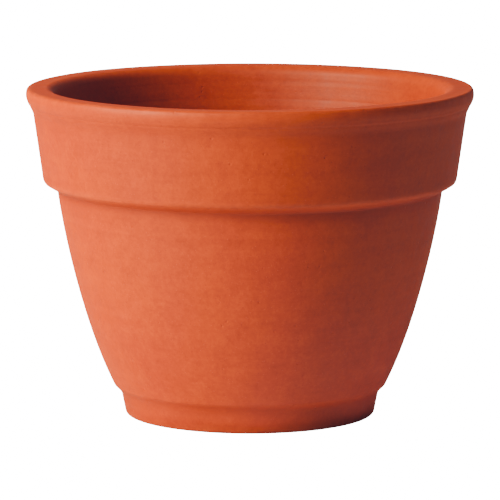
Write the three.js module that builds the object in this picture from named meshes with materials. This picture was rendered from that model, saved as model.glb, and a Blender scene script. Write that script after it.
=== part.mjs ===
// Round terracotta flower pot, made as one piece of fired clay: a bell-shaped body on a low foot,
// a broad collar under a rolled rim, and a floor with one drain hole.
//
// Millimetres, +Z up. The origin is the centre of the plane that the foot rests on.
// The pot is one closed outline turned round its axis. In the outline, x is the distance
// from the axis and y is the height. It runs anticlockwise: up the outside, over the rim,
// down the inside, across the floor, down the drain hole and out along the underside.

import * as THREE from 'three';

// ---- Driving dimensions ----

// Whole pot
const RIM_DIAMETER = 300; // over the bead, the widest line of the pot
const POT_HEIGHT = 221; // from the resting ring to the flat top of the rim

// Rolled rim
const RIM_WIDTH = 18.4; // across the flat top, from the mouth out to the bead
const MOUTH_EDGE_RADIUS = 7; // rounding of the rim's inner edge
const MOUTH_LEAN = 12; // lean of the inner wall from upright at the mouth, in degrees
const LIP_EDGE_RADIUS = 2.4; // rounding of the rim's outer top edge
const BEAD_DROP = 4.4; // widest line of the bead below the top of the rim
const BEAD_RADIUS = 10; // round of the bead
const BEAD_FLANK_ANGLE = 26.6; // lean of the bead's lower flank from upright, in degrees
const BEAD_FILLET_RADIUS = 11; // hollow between the bead's flank and the collar
const BEAD_PROUD = 3; // how far the bead stands out past the line of the collar's face

// Collar
const COLLAR_HEIGHT = 63; // from the top of the rim to the collar's lower edge
const COLLAR_LEAN = 8.25; // lean of the collar's face from upright, in degrees
const COLLAR_STEP = 9.3; // how far the collar's lower edge stands out past the body
const COLLAR_EDGE_RADIUS = 4.7; // rounding of the collar's lower edge
const COLLAR_UNDERSIDE_ANGLE = 29.5; // rise of the collar's underside from level, in degrees

// Foot and shoulder
const FOOT_DIAMETER = 167.4; // across the resting plane, before its edge is rounded
const FOOT_HEIGHT = 15.8; // from the resting plane to the crease under the shoulder
const FOOT_LEAN = 11.3; // lean of the foot's side from upright, in degrees
const FOOT_EDGE_RADIUS = 2.8; // rounding of the foot's lower edge
const FOOT_CREASE_RADIUS = 9; // hollow between the foot's side and the shoulder
const SHOULDER_RISE = 4.7; // height of the sloping shoulder between the foot and the body
const SHOULDER_SPREAD = 4.8; // how far the shoulder runs out from the foot to the body

// Walls, floor and underside
const WALL = 8; // thickness of the body's wall
const FLOOR = 12; // thickness of the floor
const FLOOR_CORNER_RADIUS = 14; // hollow between the floor and the inner wall
const DRAIN_DIAMETER = 26;
const DRAIN_EDGE_RADIUS = 2; // rounding of the drain hole's two edges
const RING_WIDTH = 12; // width of the ring that the pot rests on
const RECESS_DEPTH = 3.5; // how far the underside is set up inside the resting ring
const RECESS_EDGE_RADIUS = 2.5; // rounding of the ring's inner edge and of the recess's corner

// Bell curve of the body: its two handles, as shares of the curve's own spread and rise
const BELL_LOW_HANDLE = { spread: 0.478, rise: 0.273 };
const BELL_HIGH_HANDLE = { spread: 0.853, rise: 0.691 };

// Fineness of the faceted solid
const TURN_SEGMENTS = 60; // facets round the pot
const BODY_STEPS = 10;
const UPPER_WALL_STEPS = 4;
const ARC_STEP = 30; // most degrees that one step of an arc may turn

// ---- Outline helpers ----

const point = (x, y) => new THREE.Vector2(x, y);
const radians = THREE.MathUtils.degToRad;

// Direction of a line that leans outwards from upright, going up
const leaning = (degrees) => point(Math.sin(radians(degrees)), Math.cos(radians(degrees)));

// Where the line through a along u meets the line through b along v
function crossing(a, u, b, v) {
  const along = b.clone().sub(a).cross(v) / u.cross(v);
  return u.clone().multiplyScalar(along).add(a);
}

// Points on an arc, from one angle to another, in radians
function arc(centre, radius, from, to) {
  const steps = Math.max(2, Math.ceil(Math.abs(to - from) / radians(ARC_STEP)));
  return Array.from({ length: steps + 1 }, (_, i) => {
    const angle = from + ((to - from) * i) / steps;
    return point(Math.cos(angle), Math.sin(angle)).multiplyScalar(radius).add(centre);
  });
}

// The arc that rounds a corner between the ways in and out of it.
// The radius shrinks where a side is too short for it.
function roundCorner(before, corner, after, radius) {
  const wayIn = corner.clone().sub(before);
  const wayOut = after.clone().sub(corner);
  const room = Math.min(wayIn.length(), wayOut.length());
  wayIn.normalize();
  wayOut.normalize();
  const turn = Math.atan2(wayIn.cross(wayOut), wayIn.dot(wayOut));
  const halfTangent = Math.tan(Math.abs(turn) / 2);
  const fitted = Math.min(radius, room / halfTangent);
  const side = Math.sign(turn);
  const start = corner.clone().addScaledVector(wayIn, -fitted * halfTangent);
  const centre = start.clone().add(point(-wayIn.y, wayIn.x).multiplyScalar(side * fitted));
  const first = Math.atan2(start.y - centre.y, start.x - centre.x);
  return arc(centre, fitted, first, first + turn);
}

// ---- Fixed lines and corners that several stretches share ----

const rimRadius = RIM_DIAMETER / 2;
const beadHeight = POT_HEIGHT - BEAD_DROP;
const collarFoot = POT_HEIGHT - COLLAR_HEIGHT;
const floorTop = RECESS_DEPTH + FLOOR;
const drainRadius = DRAIN_DIAMETER / 2;

// The collar's face, as a line that the bead stands out from
const faceAtBead = point(rimRadius - BEAD_PROUD, beadHeight);
const faceDirection = leaning(COLLAR_LEAN);

// The lowest point of the collar's face, and the crease where the underside meets the body
const collarEdge = crossing(faceAtBead, faceDirection, point(0, collarFoot), point(1, 0));
const bodyTop = collarEdge.clone().add(
  point(-COLLAR_STEP, -COLLAR_STEP * Math.tan(radians(COLLAR_UNDERSIDE_ANGLE))),
);

// The foot's corners, and the edge where the shoulder meets the body
const footCorner = point(FOOT_DIAMETER / 2, 0);
const footCrease = crossing(footCorner, leaning(FOOT_LEAN), point(0, FOOT_HEIGHT), point(1, 0));
const bodyFoot = footCrease.clone().add(point(SHOULDER_SPREAD, SHOULDER_RISE));

// The bell curve of the body's outside
const bellSpread = bodyTop.x - bodyFoot.x;
const bellRise = bodyTop.y - bodyFoot.y;
const onBell = ({ spread, rise }) => bodyFoot.clone().add(point(bellSpread * spread, bellRise * rise));
const bell = new THREE.CubicBezierCurve(
  bodyFoot,
  onBell(BELL_LOW_HANDLE),
  onBell(BELL_HIGH_HANDLE),
  bodyTop,
);

// A point of the bell curve moved in through the wall
function insideBell(share) {
  const tangent = bell.getTangent(share);
  return bell.getPoint(share).add(point(-tangent.y, tangent.x).multiplyScalar(WALL));
}

// ---- Stretches of the outline, in order ----

function footOutline() {
  const ringInside = point(footCorner.x - RING_WIDTH, 0);
  return [
    ...roundCorner(ringInside, footCorner, footCrease, FOOT_EDGE_RADIUS),
    ...roundCorner(footCorner, footCrease, bodyFoot, FOOT_CREASE_RADIUS),
  ];
}

function bodyOutline() {
  return bell.getPoints(BODY_STEPS);
}

function collarOutline() {
  return roundCorner(bodyTop, collarEdge, faceAtBead, COLLAR_EDGE_RADIUS);
}

// The bead: a hollow fillet up its flank, its round, and the tight edge of the rim's top
function beadOutline() {
  const beadCentre = point(rimRadius - BEAD_RADIUS, beadHeight);
  const flankAngle = -radians(BEAD_FLANK_ANGLE);
  const flankTop = point(Math.cos(flankAngle), Math.sin(flankAngle))
    .multiplyScalar(BEAD_RADIUS)
    .add(beadCentre);
  const flankFoot = crossing(faceAtBead, faceDirection, flankTop, leaning(BEAD_FLANK_ANGLE));
  const edgeCentreHeight = POT_HEIGHT - LIP_EDGE_RADIUS;
  const joinAngle = Math.asin((edgeCentreHeight - beadHeight) / (BEAD_RADIUS - LIP_EDGE_RADIUS));
  const edgeCentre = point(
    beadCentre.x + (BEAD_RADIUS - LIP_EDGE_RADIUS) * Math.cos(joinAngle),
    edgeCentreHeight,
  );
  return [
    ...roundCorner(collarEdge, flankFoot, flankTop, BEAD_FILLET_RADIUS),
    ...arc(beadCentre, BEAD_RADIUS, flankAngle, 0),
    ...arc(beadCentre, BEAD_RADIUS, 0, joinAngle).slice(1),
    ...arc(edgeCentre, LIP_EDGE_RADIUS, joinAngle, Math.PI / 2).slice(1),
  ];
}

// The rim's inner edge, then the inner wall behind the collar
function mouthOutline() {
  const mouthCorner = point(rimRadius - RIM_WIDTH, POT_HEIGHT);
  const inward = leaning(MOUTH_LEAN).negate();
  const wallBelow = mouthCorner.clone().addScaledVector(inward, COLLAR_HEIGHT);
  const mouthEdge = roundCorner(point(rimRadius, POT_HEIGHT), mouthCorner, wallBelow, MOUTH_EDGE_RADIUS);
  const wallTop = mouthEdge.at(-1);
  const bellTop = insideBell(1);
  const bend = crossing(wallTop, inward, bellTop, bell.getTangent(1));
  const upperWall = new THREE.QuadraticBezierCurve(wallTop, bend, bellTop);
  return [...mouthEdge, ...upperWall.getPoints(UPPER_WALL_STEPS).slice(1, -1)];
}

// The inner wall behind the bell curve, and the hollow corner down to the floor
function innerWallOutline() {
  const wall = Array.from({ length: BODY_STEPS + 1 }, (_, i) => insideBell(1 - i / BODY_STEPS));
  const wallFoot = wall.at(-1);
  const corner = crossing(wallFoot, bell.getTangent(0), point(0, floorTop), point(1, 0));
  const floorCorner = roundCorner(wallFoot, corner, point(drainRadius, floorTop), FLOOR_CORNER_RADIUS);
  return [...wall, ...floorCorner];
}

function drainOutline() {
  const floorSide = point(footCorner.x, floorTop);
  const top = point(drainRadius, floorTop);
  const bottom = point(drainRadius, RECESS_DEPTH);
  const undersideOut = point(footCorner.x, RECESS_DEPTH);
  return [
    ...roundCorner(floorSide, top, bottom, DRAIN_EDGE_RADIUS),
    ...roundCorner(top, bottom, undersideOut, DRAIN_EDGE_RADIUS),
  ];
}

// The recess's corner and the inner edge of the resting ring, joined by a slope
function undersideOutline() {
  const ringEdge = point(footCorner.x - RING_WIDTH, 0);
  const recessCorner = point(ringEdge.x - RECESS_DEPTH, RECESS_DEPTH);
  return [
    ...roundCorner(point(drainRadius, RECESS_DEPTH), recessCorner, ringEdge, RECESS_EDGE_RADIUS),
    ...roundCorner(recessCorner, ringEdge, footCorner, RECESS_EDGE_RADIUS),
  ];
}

// ---- The pot ----

function potOutline() {
  const outline = [
    ...footOutline(),
    ...bodyOutline(),
    ...collarOutline(),
    ...beadOutline(),
    ...mouthOutline(),
    ...innerWallOutline(),
    ...drainOutline(),
    ...undersideOutline(),
  ];
  return [...outline, outline[0].clone()];
}

const terracotta = new THREE.MeshStandardMaterial({ color: 0xc4603c, roughness: 0.85, metalness: 0 });

function makePot() {
  const mesh = new THREE.Mesh(new THREE.LatheGeometry(potOutline(), TURN_SEGMENTS), terracotta);
  mesh.name = 'pot';
  mesh.rotation.x = Math.PI / 2; // the turning axis from +Y to +Z
  return mesh;
}

const potGroup = new THREE.Group();
potGroup.add(makePot());

export default potGroup;
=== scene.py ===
"""A terracotta flower pot: one turned and fired piece of clay, on a pale floor in soft studio light.

The CAD solid gives the pot's place, width and height. This script builds the same pot finely: its
rounded edges, turning lines and slightly wavy collar are geometry, and the clay's colour, grain and
pores are a procedural material.
"""

import math

import bpy
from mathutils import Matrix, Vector, noise


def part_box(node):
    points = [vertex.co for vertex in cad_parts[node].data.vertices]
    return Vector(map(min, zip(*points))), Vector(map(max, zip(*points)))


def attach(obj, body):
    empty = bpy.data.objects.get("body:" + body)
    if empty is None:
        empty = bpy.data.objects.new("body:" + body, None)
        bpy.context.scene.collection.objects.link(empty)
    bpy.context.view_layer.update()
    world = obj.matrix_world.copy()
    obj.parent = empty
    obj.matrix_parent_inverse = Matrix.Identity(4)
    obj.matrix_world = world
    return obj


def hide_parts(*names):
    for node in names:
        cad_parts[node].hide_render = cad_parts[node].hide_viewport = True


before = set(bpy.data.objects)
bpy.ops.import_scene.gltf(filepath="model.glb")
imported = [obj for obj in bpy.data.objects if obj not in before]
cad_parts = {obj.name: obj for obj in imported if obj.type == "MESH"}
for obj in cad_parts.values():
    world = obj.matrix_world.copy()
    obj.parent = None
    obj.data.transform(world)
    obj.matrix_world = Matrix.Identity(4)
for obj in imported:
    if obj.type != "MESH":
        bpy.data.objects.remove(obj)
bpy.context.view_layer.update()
pot_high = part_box("pot")[1]

# ---- The pot's outline, in millimetres, as in the CAD model ----

MM = 0.001
RIM_RADIUS = pot_high.x / MM
POT_HEIGHT = pot_high.z / MM
RIM_WIDTH = 18.4
MOUTH_EDGE_RADIUS = 7.0
MOUTH_LEAN = 12.0
LIP_EDGE_RADIUS = 2.4
BEAD_DROP = 4.4
BEAD_RADIUS = 10.0
BEAD_FLANK_ANGLE = 26.6
BEAD_FILLET_RADIUS = 11.0
BEAD_PROUD = 3.0
COLLAR_HEIGHT = 63.0
COLLAR_LEAN = 8.25
COLLAR_STEP = 9.3
COLLAR_EDGE_RADIUS = 4.7
COLLAR_UNDERSIDE_ANGLE = 29.5
COLLAR_CREASE_RADIUS = 2.2
FOOT_RADIUS = 83.7
FOOT_HEIGHT = 15.8
FOOT_LEAN = 11.3
FOOT_EDGE_RADIUS = 2.8
FOOT_CREASE_RADIUS = 9.0
SHOULDER_RISE = 4.7
SHOULDER_SPREAD = 4.8
SHOULDER_EDGE_RADIUS = 3.0
BELL_LOW_HANDLE = (0.478, 0.273)
BELL_HIGH_HANDLE = (0.853, 0.691)
WALL = 8.0
FLOOR_TOP = 15.5
FLOOR_CORNER_RADIUS = 14.0
DRAIN_RADIUS = 13.0
DRAIN_EDGE_RADIUS = 2.0
RING_WIDTH = 12.0
RECESS_DEPTH = 3.5
RECESS_EDGE_RADIUS = 2.5

# ---- How finely the pot is built ----

SEGMENTS = 192  # faces round the pot
ROW_SPACING = 1.6  # most millimetres between two rows of faces on the walls
BEAD_SPACING = 0.55  # the same under the bead, where a fine groove runs round the pot
FLAT_SPACING = 3.0  # the same on the floor and the underside
ARC_STEP = 9.0  # most degrees that a row turns on a rounded edge
CURVE_STEPS = 90  # points on the bell curve
CORNER_REACH = 6  # how many of them from its end one gives the direction of a rounded corner's side
LEAST_SPACING = 0.3  # points closer than this to the one before are left out


def leaning(degrees):
    """The way up a line that leans outwards. Outline points are complex numbers: radius, height."""
    return complex(math.sin(math.radians(degrees)), math.cos(math.radians(degrees)))


def cross(u, v):
    return u.real * v.imag - u.imag * v.real


def crossing(a, u, b, v):
    """Where the line through a along u meets the line through b along v."""
    return a + u * cross(b - a, v) / cross(u, v)


def arc(centre, radius, start, end):
    """Points on an arc between two angles in radians."""
    turn = abs(end - start)
    steps = max(2, math.ceil(turn / math.radians(ARC_STEP)), math.ceil(turn * radius / ROW_SPACING))
    angles = (start + (end - start) * i / steps for i in range(steps + 1))
    return [centre + radius * complex(math.cos(a), math.sin(a)) for a in angles]


def round_corner(before, corner, after, radius):
    """The arc that rounds a corner. It is smaller where a side is too short for it."""
    way_in, way_out = corner - before, after - corner
    room = min(abs(way_in), abs(way_out))
    way_in /= abs(way_in)
    way_out /= abs(way_out)
    turn = math.atan2(cross(way_in, way_out), (way_in * way_out.conjugate()).real)
    half_tangent = math.tan(abs(turn) / 2)
    radius = min(radius, room / half_tangent)
    start = corner - way_in * radius * half_tangent
    centre = start + way_in * 1j * math.copysign(radius, turn)
    first = math.atan2((start - centre).imag, (start - centre).real)
    return arc(centre, radius, first, first + turn)


def bezier(points, share):
    """A point on a Bezier curve of any degree."""
    while len(points) > 1:
        points = [a + (b - a) * share for a, b in zip(points, points[1:])]
    return points[0]


def filled(points, spacing):
    """The same line with points added wherever two lie further apart than the spacing."""
    line = [points[0]]
    for a, b in zip(points, points[1:]):
        steps = max(1, math.ceil(abs(b - a) / spacing - 1e-6))
        line += [a + (b - a) * i / steps for i in range(1, steps + 1)]
    return line


def thinned(points):
    """The same line without the points that lie too close to the one before."""
    line = [points[0]]
    for p in points[1:]:
        if abs(p - line[-1]) > LEAST_SPACING:
            line.append(p)
    return line


def pot_outline():
    """The points of the closed outline, anticlockwise from the resting ring: up the outside, over the
    rim, down the inside, across the floor, down the drain hole and out along the underside."""
    bead_height = POT_HEIGHT - BEAD_DROP
    face = complex(RIM_RADIUS - BEAD_PROUD, bead_height)
    collar_edge = crossing(face, leaning(COLLAR_LEAN), 1j * (POT_HEIGHT - COLLAR_HEIGHT), 1)
    underside_rise = COLLAR_STEP * math.tan(math.radians(COLLAR_UNDERSIDE_ANGLE))
    body_top = collar_edge - complex(COLLAR_STEP, underside_rise)
    foot_corner = complex(FOOT_RADIUS, 0)
    foot_crease = crossing(foot_corner, leaning(FOOT_LEAN), 1j * FOOT_HEIGHT, 1)
    body_foot = foot_crease + complex(SHOULDER_SPREAD, SHOULDER_RISE)
    ring_edge = complex(FOOT_RADIUS - RING_WIDTH, 0)

    span = body_top - body_foot
    shares = (BELL_LOW_HANDLE, BELL_HIGH_HANDLE)
    handles = [body_foot + complex(span.real * x, span.imag * y) for x, y in shares]
    bell = [bezier([body_foot, *handles, body_top], i / CURVE_STEPS) for i in range(CURVE_STEPS + 1)]
    crease = round_corner(bell[-CORNER_REACH], body_top, collar_edge, COLLAR_CREASE_RADIUS)
    shoulder_edge = round_corner(foot_crease, body_foot, bell[CORNER_REACH], SHOULDER_EDGE_RADIUS)
    outside = round_corner(ring_edge, foot_corner, foot_crease, FOOT_EDGE_RADIUS)
    outside += round_corner(foot_corner, foot_crease, body_foot, FOOT_CREASE_RADIUS)
    outside += shoulder_edge
    outside += [p for p in bell if shoulder_edge[-1].imag < p.imag < crease[0].imag]
    outside += crease + round_corner(body_top, collar_edge, face, COLLAR_EDGE_RADIUS)

    bead_centre = complex(RIM_RADIUS - BEAD_RADIUS, bead_height)
    flank_angle = -math.radians(BEAD_FLANK_ANGLE)
    flank_top = bead_centre + BEAD_RADIUS * complex(math.cos(flank_angle), math.sin(flank_angle))
    flank_foot = crossing(face, leaning(COLLAR_LEAN), flank_top, leaning(BEAD_FLANK_ANGLE))
    lip_reach = BEAD_RADIUS - LIP_EDGE_RADIUS
    join_angle = math.asin((BEAD_DROP - LIP_EDGE_RADIUS) / lip_reach)
    lip_centre = bead_centre + lip_reach * complex(math.cos(join_angle), math.sin(join_angle))
    bead = round_corner(collar_edge, flank_foot, flank_top, BEAD_FILLET_RADIUS)
    bead += arc(bead_centre, BEAD_RADIUS, flank_angle, join_angle)
    lip = arc(lip_centre, LIP_EDGE_RADIUS, join_angle, math.pi / 2)

    mouth_corner = complex(RIM_RADIUS - RIM_WIDTH, POT_HEIGHT)
    inward = -leaning(MOUTH_LEAN)
    below = mouth_corner + inward * COLLAR_HEIGHT
    mouth_edge = round_corner(complex(RIM_RADIUS, POT_HEIGHT), mouth_corner, below, MOUTH_EDGE_RADIUS)
    tangents = [b - a for a, b in zip(bell, bell[1:])]
    tangents.append(tangents[-1])
    wall = [p + 1j * WALL * t / abs(t) for p, t in zip(bell, tangents)][::-1]
    bend = crossing(mouth_edge[-1], inward, wall[0], tangents[-1])
    upper_curve = [mouth_edge[-1], bend, wall[0]]
    upper_wall = [bezier(upper_curve, i / CURVE_STEPS) for i in range(1, CURVE_STEPS)]
    floor_corner = crossing(wall[-1], tangents[0], 1j * FLOOR_TOP, 1)
    floor_end = complex(DRAIN_RADIUS, FLOOR_TOP)
    inside = mouth_edge + upper_wall + wall
    inside += round_corner(wall[-1], floor_corner, floor_end, FLOOR_CORNER_RADIUS)

    hole_end = complex(DRAIN_RADIUS, RECESS_DEPTH)
    recess_corner = ring_edge + complex(-RECESS_DEPTH, RECESS_DEPTH)
    drain = round_corner(floor_corner, floor_end, hole_end, DRAIN_EDGE_RADIUS)
    drain += round_corner(floor_end, hole_end, recess_corner, DRAIN_EDGE_RADIUS)
    ring = round_corner(hole_end, recess_corner, ring_edge, RECESS_EDGE_RADIUS)
    ring += round_corner(recess_corner, ring_edge, foot_corner, RECESS_EDGE_RADIUS)

    walls = filled(thinned(outside + bead[:1]), ROW_SPACING) + filled(thinned(bead), BEAD_SPACING)[1:]
    walls += filled(thinned([bead[-1], *lip[1:], *inside]), ROW_SPACING)[1:]
    under = filled(thinned([walls[-1], *drain, *ring, walls[0]]), FLAT_SPACING)[1:-1]
    return walls + under


outline = pot_outline()

# ---- The clay's surface: what turning, trimming and firing leave on the outline, in millimetres ----

WOBBLE = 0.16  # slow unevenness of the whole pot
WOBBLE_SIZE = 60.0
LINES_OUTSIDE = 0.04  # turning lines
LINES_INSIDE = 0.10
LINE_SPACING = 5.0
LINE_DRIFT = 0.9  # how much a line changes on its way round the pot
FINE_LINES = 2.1  # how many times closer the finer lines lie
FINE_LINE_SHARE = 0.5
COLLAR_EDGE_HEIGHT = POT_HEIGHT - COLLAR_HEIGHT
EDGE_RIPPLE = 0.28  # rise and fall of the collar's lower edge
EDGE_RIPPLE_REACH = 3.2
EDGE_RIPPLE_BEYOND = 125.0  # radius that keeps the ripple off the inner wall
GROOVE_HEIGHT = 209.7  # a fine groove under the bead, and the ridge that it throws up
GROOVE_DEPTH = 0.26
GROOVE_REACH = 0.8
GROOVE_BEYOND = 130.0  # radius that keeps both off everything but the collar
RIDGE_HEIGHT = 211.2
RIDGE_RISE = 0.10
MOUTH_LINE_HEIGHT = 198.4  # one deeper turning line inside the mouth
MOUTH_LINE_DEPTH = 0.22
MOUTH_LINE_REACH = 0.9
MOUTH_ABOVE = 150.0  # height that keeps it off the floor
STEEP = 0.5  # a normal's radial share, from which the surface counts as a wall
WEAR_REACH = 2.6  # how far round a crease the colour is darkened with painted shade
CREASE_SHADE_REACH = 5.5  # how far round a crease it stays darker
FLAT_BELOW = 0.6  # the resting ring stays flat up to this height
FLAT_FADE = 3.0  # and the unevenness is whole this much higher
DRAIN_SURROUND = 3.0  # round the drain hole only a share of it is left
DRAIN_SHARE = 0.3


def bump_at(distance, reach):
    """A smooth bump, 1 where the distance is 0."""
    return math.exp(-((distance / reach) ** 2))


def round_noise(turn, waves, seed):
    """Noise that goes round the pot in more waves for a larger number, with another pattern per seed."""
    return noise.noise(Vector((math.sin(turn) * waves, math.cos(turn) * waves, seed)))


def surface_change(p, normal, along, turn):
    """How far a point of the surface lies from the plain outline, as a change in radius and height."""
    x, y = p.real * math.sin(turn), p.real * math.cos(turn)
    inside = normal.real < 0 or p.imag > POT_HEIGHT - 1
    unevenness = DRAIN_SHARE
    if p.real > DRAIN_RADIUS + DRAIN_SURROUND:
        unevenness = min(1.0, max(0.0, (p.imag - FLAT_BELOW) / FLAT_FADE))
    out = WOBBLE * noise.noise(Vector((x, y, p.imag)) / WOBBLE_SIZE)
    ring = Vector((math.sin(turn) * LINE_DRIFT, math.cos(turn) * LINE_DRIFT, along / LINE_SPACING))
    lines = noise.noise(ring)
    lines += FINE_LINE_SHARE * noise.noise(ring * FINE_LINES + Vector((7, 3, 1)))
    out += (LINES_INSIDE if inside else LINES_OUTSIDE) * lines
    if normal.real > STEEP and p.real > GROOVE_BEYOND:
        fading = 0.75 + 0.25 * round_noise(turn, 3, 5)
        out -= GROOVE_DEPTH * fading * bump_at(p.imag - GROOVE_HEIGHT, GROOVE_REACH)
        out += RIDGE_RISE * bump_at(p.imag - RIDGE_HEIGHT, GROOVE_REACH)
    if normal.real < -STEEP and p.imag > MOUTH_ABOVE:
        fading = 0.6 + 0.4 * round_noise(turn, 2, 9)
        out -= MOUTH_LINE_DEPTH * fading * bump_at(p.imag - MOUTH_LINE_HEIGHT, MOUTH_LINE_REACH)
    change = normal * out * unevenness
    edge_distance = p.imag - COLLAR_EDGE_HEIGHT
    near_edge = p.real > EDGE_RIPPLE_BEYOND and abs(edge_distance) < 4 * EDGE_RIPPLE_REACH
    if normal.real > -STEEP and near_edge:
        wave = round_noise(turn, 9, 2) + 0.6 * round_noise(turn, 21, 4)
        change += 1j * EDGE_RIPPLE * wave * bump_at(edge_distance, EDGE_RIPPLE_REACH)
    return change


def exposure(bends, along, reach):
    """How far each outline point lies on an outer edge, from 0 to 1. With the bends' signs turned it
    is how far the point lies in a hollow."""

    def at(here):
        nearby = (max(0.0, bend) * bump_at(there - here, reach) for bend, there in zip(bends, along))
        return min(1.0, sum(nearby))

    return [at(here) for here in along[: len(bends)]]


def build_pot():
    rows = len(outline)
    along, bends = [0.0], []
    for i, p in enumerate(outline):
        way_in, way_out = p - outline[i - 1], outline[(i + 1) % rows] - p
        bends.append(math.atan2(cross(way_in, way_out), (way_in * way_out.conjugate()).real))
        along.append(along[-1] + abs(way_out))
    row_wear = exposure(bends, along, WEAR_REACH)
    # How deep each row lies in a crease: this sets the painted shade in the clay's colour
    row_crease_shade = exposure([-bend for bend in bends], along, CREASE_SHADE_REACH)
    vertices, wear, crease_shade = [], [], []
    for i, p in enumerate(outline):
        before, after = outline[i - 1], outline[(i + 1) % rows]
        normal = -1j * (after - before) / abs(after - before)
        wear += [row_wear[i]] * SEGMENTS
        crease_shade += [row_crease_shade[i]] * SEGMENTS
        for j in range(SEGMENTS):
            turn = 2 * math.pi * j / SEGMENTS
            q = p + surface_change(p, normal, along[i], turn)
            radius = q.real * MM
            vertices.append((radius * math.sin(turn), radius * math.cos(turn), q.imag * MM))
    faces, corners = [], []
    for i in range(rows):
        a, b = i * SEGMENTS, (i + 1) % rows * SEGMENTS
        low, high = along[i] / along[-1], along[i + 1] / along[-1]
        for j in range(SEGMENTS):
            k = (j + 1) % SEGMENTS
            faces.append((a + j, b + j, b + k, a + k))
            left, right = j / SEGMENTS, (j + 1) / SEGMENTS
            corners += [left, low, left, high, right, high, right, low]
    mesh = bpy.data.meshes.new("terracotta_pot")
    mesh.from_pydata(vertices, [], faces)
    mesh.polygons.foreach_set("use_smooth", [True] * len(faces))
    mesh.uv_layers.new(name="OFBake").data.foreach_set("uv", corners)
    for name, values in (("wear", wear), ("crease_shade", crease_shade)):
        mesh.attributes.new(name, "FLOAT", "POINT").data.foreach_set("value", values)
    mesh.update()
    pot = bpy.data.objects.new("terracotta_pot", mesh)
    bpy.context.scene.collection.objects.link(pot)
    return pot


# ---- Materials ----


def add_node(tree, kind, inputs=None, **settings):
    """A new node with its settings made and its inputs set, each to a value or another node's output."""
    made = tree.nodes.new("ShaderNode" + kind)
    for name, value in settings.items():
        setattr(made, name, value)
    for name, value in (inputs or {}).items():
        if isinstance(value, bpy.types.NodeSocket):
            tree.links.new(value, made.inputs[name])
        else:
            made.inputs[name].default_value = value
    return made


def noise_value(tree, vector, scale, detail, roughness=0.5):
    inputs = {"Vector": vector, "Scale": scale, "Detail": detail, "Roughness": roughness}
    return add_node(tree, "TexNoise", inputs).outputs["Fac"]


def spread(tree, value, low, high, to_low=0.0, to_high=1.0):
    """value from low to high, remapped to to_low to to_high and held there outside that range."""
    inputs = {"Value": value, "From Min": low, "From Max": high, "To Min": to_low, "To Max": to_high}
    return add_node(tree, "MapRange", inputs).outputs["Result"]


def math_value(tree, operation, *values):
    return add_node(tree, "Math", dict(enumerate(values)), operation=operation).outputs["Value"]


def blended(tree, share, a, b):
    """The colour between a and b at that share of b. A Mix node's colour sockets are 6, 7 and out 2."""
    return add_node(tree, "Mix", {0: share, 6: a, 7: b}, data_type="RGBA").outputs[2]


def bumped(tree, height, depth, strength, normal=None, invert=False):
    """A normal bent by that height, on top of another one, with the depth in metres."""
    inputs = {"Height": height, "Distance": depth, "Strength": strength}
    if normal is not None:
        inputs["Normal"] = normal
    return add_node(tree, "Bump", inputs, invert=invert).outputs["Normal"]


CLAY_ORANGE = (0.46, 0.072, 0.015, 1)
CLAY_ROSE = (0.435, 0.064, 0.018, 1)
CLAY_DEEP = (0.365, 0.051, 0.012, 1)
CLAY_PALE = (0.54, 0.098, 0.026, 1)
CLAY_SHADED = (0.36, 0.050, 0.012, 1)
CLAY_RUBBED = (0.55, 0.100, 0.027, 1)
CLAY_SPECK_DARK = (0.26, 0.036, 0.018, 1)
CLAY_SPECK_PALE = (0.56, 0.13, 0.070, 1)
PATCH_SCALE = 13  # pattern scales, per metre: larger is finer
MOTTLE_SCALE = 85
RUB_SCALE = 160
PORE_SCALE = 300
SPECKLE_SCALE = 340
GRAIN_SCALE = 900
TOOTH_SCALE = 1100
LINE_SCALE = (5, 5, 230)  # long round the pot, short up it
MOTTLE_SHARE = 0.40
LINE_SHARE = 0.22
SPECKLE_SHARE = 0.38
ROSE_BELOW = 0.11  # metres over the ground where the clay starts to turn rosier
SMOOTHEST = 0.48
ROUGHEST = 0.60
TOOTH_DEPTH = 0.00009
LINE_DEPTH = 0.00015
SKIN_DEPTH = 0.0005
PORE_DEPTH = 0.0003


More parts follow.
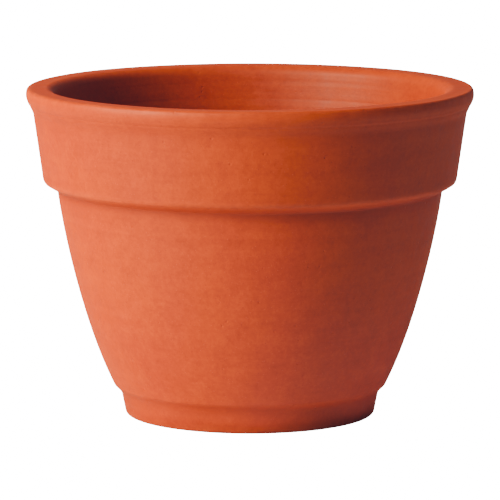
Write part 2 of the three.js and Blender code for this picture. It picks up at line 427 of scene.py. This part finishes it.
def clay_material():
    material = bpy.data.materials.new("terracotta")
    material.use_nodes = True
    tree = material.node_tree
    shader = tree.nodes["Principled BSDF"]
    place = add_node(tree, "TexCoord").outputs["Object"]

    # Broad patches from the kiln, rosier towards the foot
    patches = noise_value(tree, place, PATCH_SCALE, 3)
    height = add_node(tree, "SeparateXYZ", {"Vector": place}).outputs["Z"]
    near_foot = spread(tree, height, ROSE_BELOW, 0.0, 0.0, 0.5)
    rose = math_value(tree, "ADD", spread(tree, patches, 0.4, 0.66), near_foot)
    colour = blended(tree, math_value(tree, "MINIMUM", rose, 1.0), CLAY_ORANGE, CLAY_ROSE)

    # Mottling, fine speckle and faint lines round the pot
    mottle = noise_value(tree, place, MOTTLE_SCALE, 5, 0.62)
    stretched = add_node(tree, "Mapping", {"Vector": place, "Scale": LINE_SCALE}).outputs["Vector"]
    lines = noise_value(tree, stretched, 1, 3, 0.6)
    speckle = noise_value(tree, place, SPECKLE_SCALE, 3, 0.75)
    tone = math_value(tree, "MULTIPLY", lines, LINE_SHARE)
    tone = math_value(tree, "MULTIPLY_ADD", mottle, MOTTLE_SHARE, tone)
    tone = math_value(tree, "MULTIPLY_ADD", speckle, SPECKLE_SHARE, tone)
    colour = blended(tree, spread(tree, tone, 0.50, 0.26, 0.0, 1.0), colour, CLAY_DEEP)
    colour = blended(tree, spread(tree, tone, 0.50, 0.76, 0.0, 0.8), colour, CLAY_PALE)

    # Grains in the clay: a few dark, a few pale
    grains = add_node(tree, "TexVoronoi", {"Vector": place, "Scale": GRAIN_SCALE})
    kind = add_node(tree, "SeparateColor", {"Color": grains.outputs["Color"]})
    size = spread(tree, grains.outputs["Distance"], 0.34, 0.16)
    few_dark = spread(tree, kind.outputs["Red"], 0.93, 0.95, 0.0, 0.6)
    dark = math_value(tree, "MULTIPLY", size, few_dark)
    few_pale = spread(tree, kind.outputs["Green"], 0.92, 0.95, 0.0, 0.45)
    pale = math_value(tree, "MULTIPLY", size, few_pale)
    colour = blended(tree, dark, colour, CLAY_SPECK_DARK)
    colour = blended(tree, pale, colour, CLAY_SPECK_PALE)

    # Painted shade darkens the colour in creases and hollows, and rubbed edges are paler
    crease_shade = add_node(tree, "Attribute", attribute_name="crease_shade").outputs["Fac"]
    colour = blended(tree, math_value(tree, "MULTIPLY", crease_shade, 0.8), colour, CLAY_SHADED)
    wear = add_node(tree, "Attribute", attribute_name="wear").outputs["Fac"]
    rubbing = spread(tree, noise_value(tree, place, RUB_SCALE, 4), 0.38, 0.66, 0.2, 0.65)
    colour = blended(tree, math_value(tree, "MULTIPLY", wear, rubbing), colour, CLAY_RUBBED)
    tree.links.new(colour, shader.inputs["Base Color"])

    # Fine tooth of the fired clay, turning lines and open pores
    tooth = noise_value(tree, place, TOOTH_SCALE, 3, 0.6)
    normal = bumped(tree, tooth, TOOTH_DEPTH, 0.6)
    normal = bumped(tree, lines, LINE_DEPTH, 0.6, normal)
    normal = bumped(tree, mottle, SKIN_DEPTH, 0.45, normal)
    cells = add_node(tree, "TexVoronoi", {"Vector": place, "Scale": PORE_SCALE})
    kind = add_node(tree, "SeparateColor", {"Color": cells.outputs["Color"]})
    open_ones = spread(tree, kind.outputs["Blue"], 0.95, 0.97)
    pores = math_value(tree, "MULTIPLY", spread(tree, cells.outputs["Distance"], 0.3, 0.1), open_ones)
    normal = bumped(tree, pores, PORE_DEPTH, 0.8, normal, invert=True)
    tree.links.new(normal, shader.inputs["Normal"])
    roughness = spread(tree, mottle, 0.3, 0.7, SMOOTHEST, ROUGHEST)
    tree.links.new(roughness, shader.inputs["Roughness"])
    shader.inputs["Diffuse Roughness"].default_value = 0.6
    shader.inputs["Specular IOR Level"].default_value = 0.29
    return material


pot = build_pot()
pot.data.materials.append(clay_material())
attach(pot, "root")
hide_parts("pot")

# ---- Camera: at the photograph's angle, far away with a long lens ----

CAMERA_DISTANCE = 3.015  # metres
CAMERA_ELEVATION = 8.40  # degrees
CAMERA_SENSOR = 36  # millimetres
CAMERA_LENS = 322.5  # millimetres
AIM_HEIGHT = 0.1103  # metres


def direction(azimuth, elevation):
    """From the pot towards that azimuth and elevation. Azimuth 0 is the camera's side, 90 its right."""
    a, e = math.radians(azimuth), math.radians(elevation)
    return Vector((math.sin(a) * math.cos(e), -math.cos(a) * math.cos(e), math.sin(e)))


def aimed(name, data, azimuth, elevation, distance, target):
    """A camera or light at that direction and distance from the target, turned to face it."""
    made = bpy.data.objects.new(name, data)
    bpy.context.scene.collection.objects.link(made)
    back = direction(azimuth, elevation)
    made.location = target + back * distance
    made.rotation_euler = (-back).to_track_quat("-Z", "Y").to_euler()
    return made


camera_data = bpy.data.cameras.new("camera")
camera_data.sensor_width = CAMERA_SENSOR
camera_data.lens = CAMERA_LENS
aim = Vector((0, 0, AIM_HEIGHT))
camera = aimed("camera", camera_data, 0, CAMERA_ELEVATION, CAMERA_DISTANCE, aim)
bpy.context.scene.camera = camera

# ---- Studio: pale floor, white surroundings, one large soft key light and weak fills ----

FLOOR_RADIUS = 6.0
FLOOR_SIDES = 128
FLOOR_PALENESS = 0.55
WHITE_SEEN = 5.5  # brightness of the white surroundings to the camera
WHITE_FLOOR_SEEN = 4.8
WHITE_MIRRORED = 0.2  # to the clay's gloss
WHITE_SPREAD = 0.05  # to the clay's and the floor's matte surfaces
WHITE_VEIL = (0.017, 0.020, 0.031)  # stray light from the white surroundings in the camera
KEY_WARMTH = (1.0, 0.97, 0.72)
FILL_COOLNESS = (1.0, 1.0, 1.1)
LIGHT_DISTANCE = 2.4
GLOW_HEIGHT = 0.003  # just above the floor
FOOT_GLOW_DISTANCE = 0.19
FOOT_GLOW_SIZE = 0.2


def soft_light(name, azimuth, elevation, size, strength, colour, mirrored=True):
    """A square soft light. Its strength is the light that arrives at the pot, in W per square metre."""
    data = bpy.data.lights.new(name, "AREA")
    data.size = size
    data.energy = strength * math.pi * LIGHT_DISTANCE**2
    data.color = colour
    middle = Vector((0, 0, pot_high.z / 2))
    made = aimed(name, data, azimuth, elevation, LIGHT_DISTANCE, middle)
    made.visible_camera = False
    made.visible_glossy = mirrored


def upward_glow(name, azimuth, distance, size, brightness, colour):
    """A pool of light on the floor, which lights the pot from below."""
    data = bpy.data.lights.new(name, "AREA")
    data.size = size
    data.energy = brightness * math.pi * size**2
    data.color = colour
    made = bpy.data.objects.new(name, data)
    bpy.context.scene.collection.objects.link(made)
    made.location = direction(azimuth, 0) * distance + Vector((0, 0, GLOW_HEIGHT))
    made.rotation_euler = (math.pi, 0, math.radians(azimuth))
    made.visible_camera = False
    made.visible_glossy = False


def foot_glow(name, azimuth, brightness, colour):
    """A small pool of light close to the foot."""
    upward_glow(name, azimuth, FOOT_GLOW_DISTANCE, FOOT_GLOW_SIZE, brightness, colour)


def make_floor():
    bpy.ops.mesh.primitive_circle_add(vertices=FLOOR_SIDES, radius=FLOOR_RADIUS, fill_type="NGON")
    floor = bpy.context.object
    floor.name = "floor"
    pale = bpy.data.materials.new("pale_floor")
    pale.use_nodes = True
    tree = pale.node_tree
    tree.nodes.clear()
    matte = add_node(tree, "BsdfDiffuse", {"Color": (*[FLOOR_PALENESS] * 3, 1)})
    seen = add_node(tree, "LightPath").outputs["Is Camera Ray"]
    brightness = math_value(tree, "MULTIPLY", seen, WHITE_FLOOR_SEEN)
    glow = add_node(tree, "Emission", {"Strength": brightness})
    both = add_node(tree, "AddShader", {0: matte.outputs[0], 1: glow.outputs[0]})
    add_node(tree, "OutputMaterial", {"Surface": both.outputs[0]})
    floor.data.materials.append(pale)


def make_world():
    world = bpy.data.worlds.new("studio")
    bpy.context.scene.world = world
    world.use_nodes = True
    tree = world.node_tree
    path = add_node(tree, "LightPath")
    is_seen, is_mirrored = path.outputs["Is Camera Ray"], path.outputs["Is Glossy Ray"]
    seen = math_value(tree, "MULTIPLY", is_seen, WHITE_SEEN - WHITE_SPREAD)
    mirrored = math_value(tree, "MULTIPLY", is_mirrored, WHITE_MIRRORED - WHITE_SPREAD)
    strength = math_value(tree, "ADD", math_value(tree, "ADD", seen, mirrored), WHITE_SPREAD)
    tree.nodes["Background"].inputs["Color"].default_value = (1, 1, 1, 1)
    tree.links.new(strength, tree.nodes["Background"].inputs["Strength"])


make_floor()
make_world()

soft_light("key", azimuth=-59, elevation=28, size=1.25, strength=5.1, colour=KEY_WARMTH)
soft_light("key_low", azimuth=-60, elevation=3, size=0.8, strength=0.5, colour=KEY_WARMTH)
soft_light("front_high", azimuth=-24, elevation=46, size=1.2, strength=0.5, colour=KEY_WARMTH)
back = {"size": 1.2, "colour": FILL_COOLNESS, "mirrored": False}
soft_light("back_left", azimuth=-178, elevation=8, strength=0.35, **back)
soft_light("back_right", azimuth=120, elevation=8, strength=0.72, **back)
upward_glow("floor_front_left", -58, distance=0.62, size=0.8, brightness=1.3, colour=KEY_WARMTH)
foot_glow("foot_left", -50, 0.7, KEY_WARMTH)
foot_glow("foot_front", 5, 0.65, FILL_COOLNESS)
foot_glow("foot_right", 60, 0.55, FILL_COOLNESS)
foot_glow("foot_back_right", 112, 1.0, FILL_COOLNESS)
upward_glow("floor_right", 84, distance=0.7, size=0.6, brightness=1.2, colour=FILL_COOLNESS)

# ---- The photograph's contrast, and its veil of stray light: a negative black level adds light ----

view = bpy.context.scene.view_settings
view.view_transform = "AgX"
view.look = "AgX - High Contrast"
view.use_curve_mapping = True
view.curve_mapping.extend = "EXTRAPOLATED"
view.curve_mapping.black_level = [-level for level in WHITE_VEIL]
view.curve_mapping.update()
